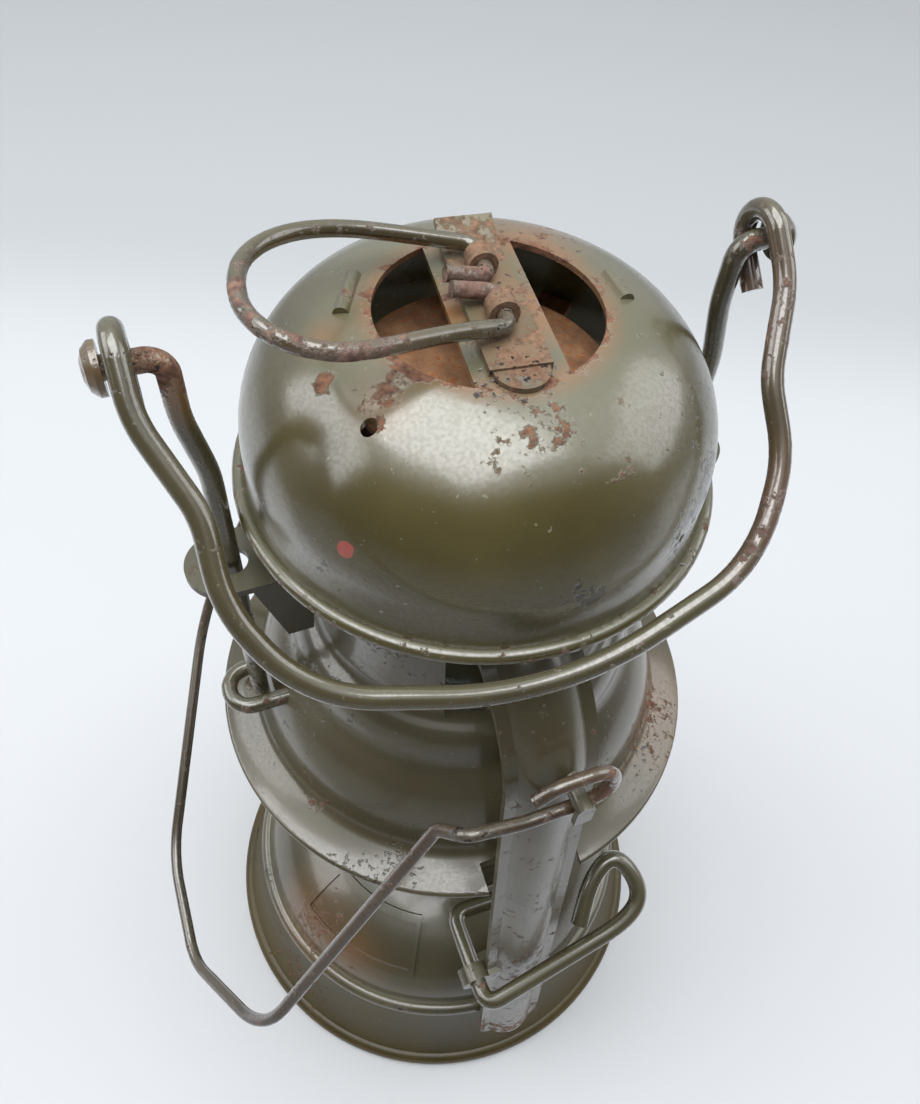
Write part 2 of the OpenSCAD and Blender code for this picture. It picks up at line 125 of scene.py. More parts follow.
# enamel: gloss
BARE_ROUGH = 0.46
RUST_ROUGH = 0.88
STEEL_METALLIC = 0.55
SCUFFED_COAT = 0.65
COAT_IOR = 1.9


def worn_enamel(name, olive, deep, rust_spots=(), rust_zones=(), bare_spots=(), bare_zones=(), stain_spots=(),
                stain_zones=(), rust_level=0.0, bare_level=0.0, chalk_and_top_light_amount=0.3, dent=0.35, paint=(), gloss=0.30,
                coat=1.0, haze=0.15, steel=("#58564c", "#86837a"), pit_spots=(), fleck=0.3, ior=1.6,
                crust=("#5a3c2e", "#90664d"), stain="#94683f"):
    """Stove enamel on drawn steel: glossy, a little wavy, chipped to rust and rubbed to grey steel."""
    finish, tree, place = new_material(name)
    drift = add(tree, "ShaderNodeTexNoise", {"Vector": place, "Scale": per_mm(DRIFT_MM), "Detail": 4.0})
    drift = drift.outputs["Fac"]
    grain = add(tree, "ShaderNodeTexNoise", {"Vector": place, "Scale": per_mm(GRAIN_MM), "Detail": 9.0,
                                             "Roughness": 0.66}).outputs["Fac"]
    speck = add(tree, "ShaderNodeTexNoise", {"Vector": place, "Scale": per_mm(SPECK_MM), "Detail": 4.0})
    speck = speck.outputs["Fac"]
    patch = add(tree, "ShaderNodeTexNoise", {"Vector": place, "Scale": per_mm(PATCH_MM), "Detail": 2.0, "W": 3.0},
                noise_dimensions="4D").outputs["Fac"]
    fine = add(tree, "ShaderNodeTexNoise", {"Vector": place, "Scale": per_mm(FINE_MM), "Detail": 3.0})
    fine = fine.outputs["Fac"]

    # rust breaks out where its spread and the fine grain together pass a threshold
    rust_field = spread(tree, place, rust_spots, rust_zones)
    rust_sum = add(tree, "ShaderNodeMath", {0: grain, 1: rust_level}).outputs[0]
    if rust_field:
        rust_sum = add(tree, "ShaderNodeMath", {0: rust_sum, 1: rust_field}).outputs[0]
    rust = add(tree, "ShaderNodeMapRange", {"Value": rust_sum, **RUST_EDGE},
               interpolation_type="SMOOTHSTEP").outputs[0]
    # dark pinholes gather in patches
    pinhole_sum = add(tree, "ShaderNodeMath", {0: speck, 1: patch}).outputs[0]
    pit_field = spread(tree, place, pit_spots, ())
    if pit_field:
        pinhole_sum = add(tree, "ShaderNodeMath", {0: pinhole_sum, 1: pit_field}).outputs[0]
    pinhole = add(tree, "ShaderNodeMapRange", {"Value": pinhole_sum, **PINHOLE_EDGE}).outputs[0]
    # bare steel where hands and wires rub
    bare_field = spread(tree, place, bare_spots, bare_zones)
    bare_sum = add(tree, "ShaderNodeMath", {0: patch, 1: bare_level}).outputs[0]
    if bare_field:
        bare_sum = add(tree, "ShaderNodeMath", {0: bare_sum, 1: bare_field}).outputs[0]
    bare_sum = add(tree, "ShaderNodeMath", {0: speck, 1: SPECK_IN_BARE, 2: bare_sum},
                   operation="MULTIPLY_ADD").outputs[0]
    bare = add(tree, "ShaderNodeMapRange", {"Value": bare_sum, **BARE_EDGE},
               interpolation_type="SMOOTHSTEP").outputs[0]

    tone = add(tree, "ShaderNodeMapRange", {"Value": drift, **DRIFT_EDGE}).outputs[0]
    colour = add(tree, "ShaderNodeMix", {FACTOR: tone, COLOUR_A: linear(deep), COLOUR_B: linear(olive)},
                 data_type="RGBA").outputs[MIXED]
    # chalky dust and, in part, painted top light: paler where it faces the sky
    facing = add(tree, "ShaderNodeTexCoord").outputs["Normal"]
    facing = add(tree, "ShaderNodeSeparateXYZ", {0: facing}).outputs["Z"]
    chalk_and_top_light = add(tree, "ShaderNodeMapRange", {"Value": facing, **SKYWARD_EDGE, "To Max": chalk_and_top_light_amount},
               interpolation_type="SMOOTHSTEP").outputs[0]
    colour = add(tree, "ShaderNodeMix", {FACTOR: chalk_and_top_light, COLOUR_A: colour, COLOUR_B: linear(CHALK_AND_TOP_LIGHT_TINT)},
                 data_type="RGBA").outputs[MIXED]
    # pale flecks of knocked paint
    mark = add(tree, "ShaderNodeMapRange", {"Value": speck, **FLECK_EDGE, "To Max": fleck}).outputs[0]
    colour = add(tree, "ShaderNodeMix", {FACTOR: mark, COLOUR_A: colour, COLOUR_B: linear(FLECK_TINT)},
                 data_type="RGBA").outputs[MIXED]
    # brown bleeding round the rust
    bleed = spread(tree, place, stain_spots, stain_zones)
    if bleed:
        bleed = add(tree, "ShaderNodeMath", {0: bleed, 1: patch}, operation="MULTIPLY").outputs[0]
        bleed = add(tree, "ShaderNodeMath", {0: bleed, 1: MOST_BLEED}, operation="MINIMUM").outputs[0]
        colour = add(tree, "ShaderNodeMix", {FACTOR: bleed, COLOUR_A: colour, COLOUR_B: linear(stain)},
                     data_type="RGBA").outputs[MIXED]
    # dabs of other paint, with a ragged edge
    for centre, reach, pigment in paint:
        dab = spread(tree, place, [(centre, reach, 1.0)], ())
        dab = add(tree, "ShaderNodeMath", {0: grain, 1: GRAIN_IN_DAB, 2: dab}, operation="MULTIPLY_ADD").outputs[0]
        dab = add(tree, "ShaderNodeMapRange", {"Value": dab, **DAB_EDGE}).outputs[0]
        colour = add(tree, "ShaderNodeMix", {FACTOR: dab, COLOUR_A: colour, COLOUR_B: linear(pigment)},
                     data_type="RGBA").outputs[MIXED]
    # steel, then rust crust, then pinholes lie over the paint
    pitted = add(tree, "ShaderNodeMapRange", {"Value": grain, **PITTED_EDGE}).outputs[0]
    ground = add(tree, "ShaderNodeMix", {FACTOR: pitted, COLOUR_A: linear(steel[1]), COLOUR_B: linear(steel[0])},
                 data_type="RGBA").outputs[MIXED]
    colour = add(tree, "ShaderNodeMix", {FACTOR: bare, COLOUR_A: colour, COLOUR_B: ground},
                 data_type="RGBA").outputs[MIXED]
    flake = add(tree, "ShaderNodeMapRange", {"Value": speck, **FLAKE_EDGE}).outputs[0]
    flake = add(tree, "ShaderNodeMix", {FACTOR: flake, COLOUR_A: linear(crust[0]), COLOUR_B: linear(crust[1])},
                data_type="RGBA").outputs[MIXED]
    colour = add(tree, "ShaderNodeMix", {FACTOR: rust, COLOUR_A: colour, COLOUR_B: flake},
                 data_type="RGBA").outputs[MIXED]
    colour = add(tree, "ShaderNodeMix", {FACTOR: pinhole, COLOUR_A: colour, COLOUR_B: linear(PINHOLE_TINT)},
                 data_type="RGBA").outputs[MIXED]

    rough = add(tree, "ShaderNodeMapRange", {"Value": drift, **DRIFT_EDGE, "To Min": gloss - 0.05,
                                             "To Max": gloss + 0.07}).outputs[0]
    rough = add(tree, "ShaderNodeMix", {FACTOR: bare, NUMBER_A: rough, NUMBER_B: BARE_ROUGH}).outputs[0]
    rough = add(tree, "ShaderNodeMix", {FACTOR: rust, NUMBER_A: rough, NUMBER_B: RUST_ROUGH}).outputs[0]
    sound = add(tree, "ShaderNodeMath", {0: 1.0, 1: rust}, operation="SUBTRACT").outputs[0]
    metal = add(tree, "ShaderNodeMath", {0: bare, 1: sound}, operation="MULTIPLY").outputs[0]
    metal = add(tree, "ShaderNodeMath", {0: metal, 1: STEEL_METALLIC}, operation="MULTIPLY").outputs[0]
    # the gloss is scuffed in a fine pattern, and gone where the steel is bare or rusted
    scuff = add(tree, "ShaderNodeMapRange", {"Value": fine, **PITTED_EDGE, "To Min": coat,
                                             "To Max": coat * SCUFFED_COAT}).outputs[0]
    glaze = add(tree, "ShaderNodeMix", {FACTOR: bare, NUMBER_A: scuff, NUMBER_B: 0.0}).outputs[0]
    glaze = add(tree, "ShaderNodeMath", {0: glaze, 1: sound}, operation="MULTIPLY").outputs[0]

    # shallow dents, thick rust, sunk pinholes and the fine unevenness of the enamel
    wave = add(tree, "ShaderNodeTexNoise", {"Vector": place, "Scale": per_mm(WAVE_MM), "Detail": 1.0})
    form = add(tree, "ShaderNodeBump", {"Height": wave.outputs["Fac"], "Strength": 1.0, "Distance": dent * MM})
    scab = add(tree, "ShaderNodeMath", {0: rust, 1: grain}, operation="MULTIPLY").outputs[0]
    form = add(tree, "ShaderNodeBump", {"Height": scab, "Strength": 0.6, "Distance": 0.35 * MM,
                                        "Normal": form.outputs[0]})
    form = add(tree, "ShaderNodeBump", {"Height": pinhole, "Strength": 0.6, "Distance": 0.12 * MM,
                                        "Normal": form.outputs[0]}, invert=True)
    form = add(tree, "ShaderNodeBump", {"Height": fine, "Strength": 0.22, "Distance": 0.03 * MM,
                                        "Normal": form.outputs[0]}).outputs[0]
    surface = add(tree, "ShaderNodeBsdfPrincipled", {"Base Color": colour, "Roughness": rough, "Metallic": metal,
                                                     "Normal": form, "IOR": ior, "Coat Weight": glaze,
                                                     "Coat IOR": COAT_IOR, "Coat Roughness": haze,
                                                     "Coat Normal": form})
    add(tree, "ShaderNodeOutputMaterial", {"Surface": surface.outputs[0]})
    return finish


def rusted_steel(name, light, dark, bare_amount):
    """Bare sheet left to rust: matt, granular, orange in the hollows, with some grey steel still showing."""
    finish, tree, place = new_material(name)
    grain = add(tree, "ShaderNodeTexNoise", {"Vector": place, "Scale": per_mm(4), "Detail": 9.0, "Roughness": 0.7})
    grain = grain.outputs["Fac"]
    crumb = add(tree, "ShaderNodeTexNoise", {"Vector": place, "Scale": per_mm(0.9), "Detail": 5.0}).outputs["Fac"]
    depth = add(tree, "ShaderNodeMapRange", {"Value": grain, **FLAKE_EDGE}).outputs[0]
    colour = add(tree, "ShaderNodeMix", {FACTOR: depth, COLOUR_A: linear(dark), COLOUR_B: linear(light)},
                 data_type="RGBA").outputs[MIXED]
    ember = add(tree, "ShaderNodeMapRange", {"Value": crumb, "From Min": 0.55, "From Max": 0.7}).outputs[0]
    colour = add(tree, "ShaderNodeMix", {FACTOR: ember, COLOUR_A: colour, COLOUR_B: linear("#a9653a")},
                 data_type="RGBA").outputs[MIXED]
    bare = add(tree, "ShaderNodeMapRange", {"Value": grain, "From Min": 0.62 - bare_amount,
                                            "From Max": 0.72 - bare_amount}).outputs[0]
    colour = add(tree, "ShaderNodeMix", {FACTOR: bare, COLOUR_A: colour, COLOUR_B: linear("#8d8375")},
                 data_type="RGBA").outputs[MIXED]
    rough = add(tree, "ShaderNodeMix", {FACTOR: bare, NUMBER_A: 0.9, NUMBER_B: 0.5}).outputs[0]
    metal = add(tree, "ShaderNodeMath", {0: bare, 1: 0.6}, operation="MULTIPLY").outputs[0]
    form = add(tree, "ShaderNodeBump", {"Height": crumb, "Strength": 0.7, "Distance": 0.25 * MM}).outputs[0]
    form = add(tree, "ShaderNodeBump", {"Height": grain, "Strength": 0.5, "Distance": 0.4 * MM, "Normal": form})
    surface = add(tree, "ShaderNodeBsdfPrincipled", {"Base Color": colour, "Roughness": rough, "Metallic": metal,
                                                     "Normal": form.outputs[0]})
    add(tree, "ShaderNodeOutputMaterial", {"Surface": surface.outputs[0]})
    return finish


def dull_brass(name):
    """Spun brass gone brown: a warm metal under cloudy tarnish, duller where the tarnish is dark."""
    finish, tree, place = new_material(name)
    cloud = add(tree, "ShaderNodeTexNoise", {"Vector": place, "Scale": per_mm(7), "Detail": 6.0}).outputs["Fac"]
    colour = add(tree, "ShaderNodeMix", {FACTOR: cloud, COLOUR_A: linear("#6e5a34"), COLOUR_B: linear("#b89a5a")},
                 data_type="RGBA").outputs[MIXED]
    rough = add(tree, "ShaderNodeMapRange", {"Value": cloud, "To Min": 0.55, "To Max": 0.28}).outputs[0]
    form = add(tree, "ShaderNodeBump", {"Height": cloud, "Strength": 0.2, "Distance": 0.1 * MM}).outputs[0]
    surface = add(tree, "ShaderNodeBsdfPrincipled", {"Base Color": colour, "Roughness": rough, "Metallic": 1.0,
                                                     "Normal": form})
    add(tree, "ShaderNodeOutputMaterial", {"Surface": surface.outputs[0]})
    return finish


def pressed_glass(name):
    """Pressed soda glass: clear, faintly green, a little wavy and dusty."""
    finish, tree, place = new_material(name)
    ripple = add(tree, "ShaderNodeTexNoise", {"Vector": place, "Scale": per_mm(9), "Detail": 2.0}).outputs["Fac"]
    rough = add(tree, "ShaderNodeMapRange", {"Value": ripple, "To Min": 0.02, "To Max": 0.10}).outputs[0]
    form = add(tree, "ShaderNodeBump", {"Height": ripple, "Strength": 0.15, "Distance": 0.2 * MM}).outputs[0]
    surface = add(tree, "ShaderNodeBsdfPrincipled", {"Base Color": linear("#eef3ec"), "Roughness": rough,
                                                     "IOR": 1.52, "Transmission Weight": 1.0, "Normal": form})
    add(tree, "ShaderNodeOutputMaterial", {"Surface": surface.outputs[0]})
    return finish


def woven_cotton(name):
    """Flat woven wick: matt cream cotton with ribs 1 mm apart."""
    finish, tree, place = new_material(name)
    # at scale 1 the wave turns through 20 radians to the metre, and one rib takes a full turn
    rib = add(tree, "ShaderNodeTexWave", {"Vector": place, "Scale": 2 * pi * per_mm(1) / 20, "Distortion": 1.0},
              bands_direction="Z").outputs["Fac"]
    colour = add(tree, "ShaderNodeMix", {FACTOR: rib, COLOUR_A: linear("#b9ad92"), COLOUR_B: linear("#ded5bf")},
                 data_type="RGBA").outputs[MIXED]
    form = add(tree, "ShaderNodeBump", {"Height": rib, "Strength": 0.5, "Distance": 0.2 * MM}).outputs[0]
    surface = add(tree, "ShaderNodeBsdfPrincipled", {"Base Color": colour, "Roughness": 0.95, "Normal": form})
    add(tree, "ShaderNodeOutputMaterial", {"Surface": surface.outputs[0]})
    return finish


def pressed_cork(name):
    """Cork washer: dark brown granules about 1.5 mm across."""
    finish, tree, place = new_material(name)
    granule = add(tree, "ShaderNodeTexVoronoi", {"Vector": place, "Scale": per_mm(1.5)}).outputs["Color"]
    shade = add(tree, "ShaderNodeSeparateColor", {0: granule}).outputs[0]
    colour = add(tree, "ShaderNodeMix", {FACTOR: shade, COLOUR_A: linear("#3a2a1c"), COLOUR_B: linear("#7a5c3c")},
                 data_type="RGBA").outputs[MIXED]
    form = add(tree, "ShaderNodeBump", {"Height": shade, "Strength": 0.4, "Distance": 0.2 * MM}).outputs[0]
    surface = add(tree, "ShaderNodeBsdfPrincipled", {"Base Color": colour, "Roughness": 0.9, "Normal": form})
    add(tree, "ShaderNodeOutputMaterial", {"Surface": surface.outputs[0]})
    return finish


# the olive of the enamel, and the same where it lies thick
OLIVE = "#5a5127"
DEEP_OLIVE = "#453d1e"
# lower down and on the wires it is greyed by smoke and hands
GREY_OLIVE = "#59523a"
DEEP_GREY_OLIVE = "#443d2b"

# spots are (centre, reach, amount) and zones (height z or radius r, level, reach, amount), in mm
hood_enamel = worn_enamel(
    "olive stove enamel on the hood", OLIVE, DEEP_OLIVE, chalk_and_top_light_amount=0.55, dent=2.2, fleck=0.6, haze=0.21,
    rust_spots=[((-7, -24, 226), 6, 0.14), ((-2, -25, 226), 8, 0.16), ((4, -27, 224), 7, 0.15),
                ((-9, -28, 224), 4, 0.14), ((8, -30, 222), 3, 0.2), ((-26, -5, 225), 3.0, 0.5),
                ((-20, -11.5, 226), 4.5, 0.3), ((-22.6, -14.7, 225), 3, 0.36), ((-15, -9, 227), 4.5, 0.34),
                ((-5, -4, 228), 6, 0.2), ((-4, 8, 228), 6, 0.2), ((8, 2, 228), 5, 0.2), ((10, -22, 226), 3, 0.16),
                ((0, -20, 227), 5, 0.16), ((26, -18, 220), 4, 0.14), ((2, 20, 227), 9, 0.2),
                ((-18, 9, 227), 4, 0.3), ((-17, -4, 227), 5, 0.2), ((14, 16, 227), 9, 0.2), ((21, 0, 227), 5, 0.2),
                ((21, -32, 207), 8, 0.16), ((30, -26, 206), 9, 0.14), ((19, -10, 226.6), 4, 0.14),
                ((7, -3, 228), 6, 0.2), ((6, 6, 228), 6, 0.2), ((-7, 2, 228), 6, 0.16), ((-24, 2, 226), 4, 0.2)],
    rust_zones=[("z", 196, 3.0, 0.19), ("r", 16.9, 2.4, 0.24)],
    pit_spots=[((0, -38, 208), 5, 0.34), ((3, -38.5, 205), 4, 0.34), ((20, -32.5, 207), 6, 0.36),
               ((26, -28, 208), 7, 0.36), ((28, -27, 214), 6, 0.3), ((-30, -20, 205), 5, 0.28)],
    bare_spots=[((-3, -26, 225), 20, 0.2)], bare_zones=[("z", 196, 2.5, 0.16)],
    stain_spots=[((12, 16, 227), 13, 1.3), ((-20, -12, 226), 7, 0.9), ((6, -3, 228), 9, 2.2),
                 ((-6, 1, 228), 9, 1.8), ((-24, 3, 226), 5, 1.2)],
    stain_zones=[("r", 16.9, 3.4, 1.2)], paint=[((-29, -23.2, 211.4), 2.2, "#b0493a")])
shade_enamel = worn_enamel(
    "olive stove enamel on the shade", GREY_OLIVE, DEEP_GREY_OLIVE, coat=0.7, chalk_and_top_light_amount=0.1, steel=("#4c4b3e", "#767365"),
    rust_spots=[((36, -26, 128), 19, 0.2), ((-38, -22, 128), 9, 0.14), ((20, -40, 128), 9, 0.12)],
    rust_zones=[("r", 43, 1.6, 0.1)], stain_spots=[((38, -24, 128), 20, 0.9)],
    pit_spots=[((-26, -40, 128), 9, 0.2), ((38, -30, 128), 14, 0.2)])
tank_enamel = worn_enamel(
    "olive stove enamel on the tank", GREY_OLIVE, DEEP_GREY_OLIVE, coat=0.6,
    rust_spots=[((-44, -18, 38), 16, 0.27), ((-52, -30, 12), 18, 0.2), ((-38, -34, 38), 9, 0.18)],
    rust_zones=[("z", 0.4, 2.6, 0.3)], bare_spots=[((-36, -34, 40), 14, 0.2)], bare_zones=[("r", 54, 2, 0.22)],
    stain_spots=[((-44, -18, 38), 18, 1.1), ((-36, -32, 40), 12, 0.7)])
# the foot's darker, browner enamel, more so towards the floor, is painted shade; its rust at the bead is rust
foot_enamel_painted_shade = worn_enamel(
    "olive enamel with painted shade at the foot", "#51451f", "#3d3418", coat=0.1, gloss=0.4, chalk_and_top_light_amount=0.0, ior=1.45,
    rust_spots=[((-52, -30, 12), 18, 0.2), ((-56, -14, 10), 14, 0.16)],
    rust_zones=[("z", 0.2, 2.0, 0.22)], stain_zones=[("z", 0, 4, 0.5)])
tube_enamel = worn_enamel(
    "olive stove enamel on the side tubes", GREY_OLIVE, DEEP_GREY_OLIVE, coat=0.4, steel=("#423f35", "#615d51"),
    rust_level=0.07, rust_spots=[((9, -57, 80), 40, 0.12)], rust_zones=[("z", 26, 14, 0.18)],
    bare_zones=[("z", 56, 58, 0.14)], pit_spots=[((0, -58, 60), 45, 0.22), ((0, 58, 60), 45, 0.22)])
dark_enamel = worn_enamel("smoked olive enamel", "#4a4226", "#352e1b", rust_level=0.09, gloss=0.42, coat=0.25)
bail_enamel = worn_enamel(
    "olive enamel on the thick bail", GREY_OLIVE, DEEP_GREY_OLIVE, dent=0.1, gloss=0.17, rust_level=0.06,
    bare_level=0.04, crust=("#5b443a", "#8a6c5e"), stain="#72574a",
    rust_spots=[((45, -10, 222), 16, 0.14), ((34, -34, 202), 16, 0.16), ((-6, -46, 194), 10, 0.08)],
    stain_spots=[((45, -8, 224), 18, 1.8), ((37, -32, 204), 18, 1.8)])
rod_enamel = worn_enamel(
    "olive enamel on the rods", GREY_OLIVE, DEEP_GREY_OLIVE, dent=0.1, gloss=0.24, rust_level=0.07, bare_level=0.05,
    rust_spots=[((-46, 0, 229), 9, 0.3), ((43, 0, 231), 8, 0.14), ((-50, 0, 150), 30, 0.08)],
    stain_spots=[((-46, 0, 229), 12, 1.6)])
ring_enamel = worn_enamel(
    "olive enamel rubbed off the ring", "#5a5034", "#463c28", dent=0.1, gloss=0.22, rust_level=0.11, bare_level=0.1,
    fleck=0.7, crust=("#614a40", "#957566"), stain="#7d6154",
    rust_spots=[((-2, 1, 231), 8, 0.25), ((-24, -12, 235), 15, 0.16), ((-36, 0, 238), 9, 0.14)],
    stain_spots=[((-2, 1, 231), 9, 1.5), ((-24, -12, 235), 14, 0.9)])
lever_enamel = worn_enamel(
    "olive enamel on the lever", GREY_OLIVE, DEEP_GREY_OLIVE, dent=0.1, gloss=0.22, bare_level=0.08,
    rust_spots=[((-12, -56, 75), 9, 0.16)])
thin_enamel = worn_enamel(
    "bare drawn wire, brown with handling", "#463b2d", "#342b22", dent=0.1, gloss=0.26, rust_level=0.1,
    bare_level=0.12, stain="#7a5c48", rust_spots=[((4, -58, 170), 12, 0.16)],
    stain_spots=[((4, -58, 170), 14, 1.6)], stain_zones=[("z", 150, 70, 0.35)])
strap_enamel = worn_enamel(
    "olive enamel gone to rust on the strap", "#6b6142", "#544a30", dent=0.15, gloss=0.45, coat=0.2,
    rust_level=0.13, crust=("#6a4e3d", "#9c7a5f"), stain="#8c6d52",
    rust_spots=[((0, -13, 229), 9, 0.22), ((2, 13, 229), 10, 0.16), ((3, 0, 229), 6, 0.16),
                ((1.2, 7.5, 231), 4, 0.2), ((0, -3.7, 231), 4, 0.2)],
    bare_spots=[((-1.3, -16.2, 228), 3.4, 0.2)],
    stain_spots=[((0, -11, 229), 9, 1.4), ((3, 2, 229), 8, 1.4), ((2, 13, 229), 8, 0.9),
                 ((1.2, 7.5, 231), 5, 1.4), ((0, -3.7, 231), 5, 1.4)])
# inside the hood the rust colours are painted paler than the rust itself: painted light in the dark inside
inner_rust_painted_light = rusted_steel("rusted sheet steel inside the hood", "#b88b64", "#846048", -0.05)
brass = dull_brass("tarnished brass")
glass = pressed_glass("pressed soda glass")

FINISHES = {
    hood_enamel: ["hood"],
    shade_enamel: ["shade"],
    tank_enamel: ["tank_top"],
    foot_enamel_painted_shade: ["tank_base"],
    tube_enamel: ["tube_front", "tube_back"],
    dark_enamel: ["crown", "chimney", "guide_bracket", "globe_gallery", "filler_cap"],
    bail_enamel: ["thick_bail"],
    rod_enamel: ["rod_left", "rod_right", "shade_eyes"],
    ring_enamel: ["ring_handle"],
    lever_enamel: ["globe_lever"],
    thin_enamel: ["thin_bail"],
    strap_enamel: ["top_strap"],
    inner_rust_painted_light: ["hood_spider", "baffle"],
    brass: ["filler_neck", "burner_collar", "burner_body", "burner_cone", "wick_tube", "wick_spindle", "wick_knob"],
    glass: ["glass_globe"],
    woven_cotton("woven cotton wick"): ["wick"],
    pressed_cork("pressed cork washer"): ["cap_gasket"],
}
for finish, names in FINISHES.items():
    for name in names:
        piece = lantern[name]
        piece.data.materials.clear()
        piece.data.materials.append(finish)

# the turned sheet shows as one smooth curve from edge to edge
SHARP_EDGE = 0.5
SAME_POINT_MM = 0.005
for name in ("hood", "shade", "tank_base", "tank_top", "glass_globe"):
    piece = lantern[name]
    held = piece.data.attributes.get("custom_normal")
    if held:
        piece.data.attributes.remove(held)
    piece.data.shade_smooth()
    weld = piece.modifiers.new("joined faces", "WELD")
    weld.merge_threshold = SAME_POINT_MM * MM
    crease = piece.modifiers.new("real edges", "EDGE_SPLIT")
    crease.split_angle = SHARP_EDGE

BEND_STEPS = 8
NEXT_POINT_MM = 0.001


def bent_wire(name, diameter, corners, finish):
    """A round wire bent along straight runs: each corner comes with the reach, in mm, of its rounding."""
    route = [corners[0][0]]
    for (before, _), (corner, reach), (after, _) in zip(corners, corners[1:], corners[2:]):
        back, on = before - corner, after - corner
        start = corner + back.normalized() * min(reach, back.length / 2)
        end = corner + on.normalized() * min(reach, on.length / 2)
        for step in range(BEND_STEPS + 1):
            t = step / BEND_STEPS
            point = start.lerp(corner, t).lerp(corner.lerp(end, t), t)
            if (point - route[-1]).length > NEXT_POINT_MM:
                route.append(point)
    route.append(corners[-1][0])
    curve = bpy.data.curves.new(name, "CURVE")
    curve.dimensions = "3D"
    curve.bevel_depth = diameter / 2 * MM
    curve.bevel_resolution = 6
    curve.use_fill_caps = True
    line = curve.splines.new("POLY")
    line.points.add(len(route) - 1)
    for knot, point in zip(line.points, route):
        knot.co = (*(point * MM), 1.0)
    curve.materials.append(finish)
    wire = bpy.data.objects.new(name, curve)
    bpy.context.scene.collection.objects.link(wire)
    return wire


# ring handle: two stubs in the strap's tunnels, then one rounded loop that lies to the left and rises a little
RING_WIRE_MM = 2.5
RING_PIVOT = Vector((0.6, 1.9, 230.2))
RING_TURN = radians(-6.5)
RING_RISE = radians(11)
RING_START = [((-6.5, 1.8), 0), ((0, 1.8), 1.7), ((0, 9.6), 2.2), ((-6.5, 10.3), 4)]
RING_LOOP = [(-13, 11), (-19.5, 11.3), (-26, 10), (-31.2, 6.8), (-34.9, 2), (-36.1, -4), (-35.4, -9.8),
             (-31.2, -14.5), (-25, -16.2), (-19, -14.8), (-12, -12.4)]
RING_END = [((-6, -10.7), 4), ((0, -9.6), 2.2), ((0, -1.8), 1.7), ((-6.5, -1.8), 0)]
FREE_BEND = 20
ring_place = (Matrix.Rotation(RING_TURN, 4, "Z") @ Matrix.Translation(RING_PIVOT)
              @ Matrix.Rotation(RING_RISE, 4, "Y"))
ring_bends = RING_START + [(spot, FREE_BEND) for spot in RING_LOOP] + RING_END
ring_corners = [(ring_place @ Vector((*spot, 0)), reach) for spot, reach in ring_bends]
ring_wire = bent_wire("ring_wire", RING_WIRE_MM, ring_corners, ring_enamel)
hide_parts("ring_handle")
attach(ring_wire, "ring")
# globe lever: crank under the gallery, axle through the bearing on the tube, arm and round finger hook
LEVER_WIRE_MM = 4
AXLE_END = Vector((-12, -60.86, 74.6))
CRANK = [((16, -29, 69.6), 0), ((16, -38, 69.6), 3.4), ((-12, -38.4, 74.6), 3.4)]
HOOK_FROM_AXLE = [(36.5, 3.5, 15.4), (40.8, 8.1, 19.4), (37.2, 16.5, 24), (30.6, 14.3, 20.8), (24.8, 6.7, 13.9)]
AXLE_BEND = 4.2
HOOK_BEND = 8
lever_corners = [(Vector(spot), reach) for spot, reach in CRANK] + [(AXLE_END, AXLE_BEND)]
lever_corners += [(AXLE_END + Vector(spot), HOOK_BEND) for spot in HOOK_FROM_AXLE]
lever_wire = bent_wire("lever_wire", LEVER_WIRE_MM, lever_corners, lever_enamel)
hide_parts("globe_lever")
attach(lever_wire, "lever")

# floor: one pale sheet, lengths in metres; its far end is painted greyer, painted shade as of a paper sweep that
# rises out of the light
FLOOR_HALF = 3.0
FLOOR_DROP = 0.0002
VIEW_ALONG = Vector((0.4226, 0.9063, 0))
CREASE = 0.215
CREASE_WIDTH = 0.12
NEAR_EDGE = -0.1
DARK_REFLECTION_EDGE = {"From Min": -0.16, "From Max": -0.06}
FADE_TO_WALL = {"From Min": 0.8, "From Max": 1.6}
NEAR_TINT, MIDDLE_TINT, FAR_PAINTED_SHADE_TINT, PAINTED_REFLECTION_TINT = "#d6d9dd", "#d7dbdf", "#c5c9cd", "#808182"
WALL_TINT = "#f6f8f9"
WALL_LEVEL = 0.8
floor_paper, tree, place = new_material("pale paper sweep")
along = add(tree, "ShaderNodeVectorMath", {0: place, 1: VIEW_ALONG}, operation="DOT_PRODUCT").outputs["Value"]
# painted shade on the flat floor: a little darker at the near edge, palest at the crease and greyer beyond it
near = add(tree, "ShaderNodeMapRange", {"Value": along, "From Min": NEAR_EDGE, "From Max": CREASE}).outputs[0]
colour = add(tree, "ShaderNodeMix", {FACTOR: near, COLOUR_A: linear(NEAR_TINT), COLOUR_B: linear(MIDDLE_TINT)},
             data_type="RGBA").outputs[MIXED]
far_painted_shade = add(tree, "ShaderNodeMapRange", {"Value": along, "From Min": CREASE, "From Max": CREASE + CREASE_WIDTH},
          interpolation_type="SMOOTHSTEP").outputs[0]
colour = add(tree, "ShaderNodeMix", {FACTOR: far_painted_shade, COLOUR_A: colour, COLOUR_B: linear(FAR_PAINTED_SHADE_TINT)},
             data_type="RGBA").outputs[MIXED]
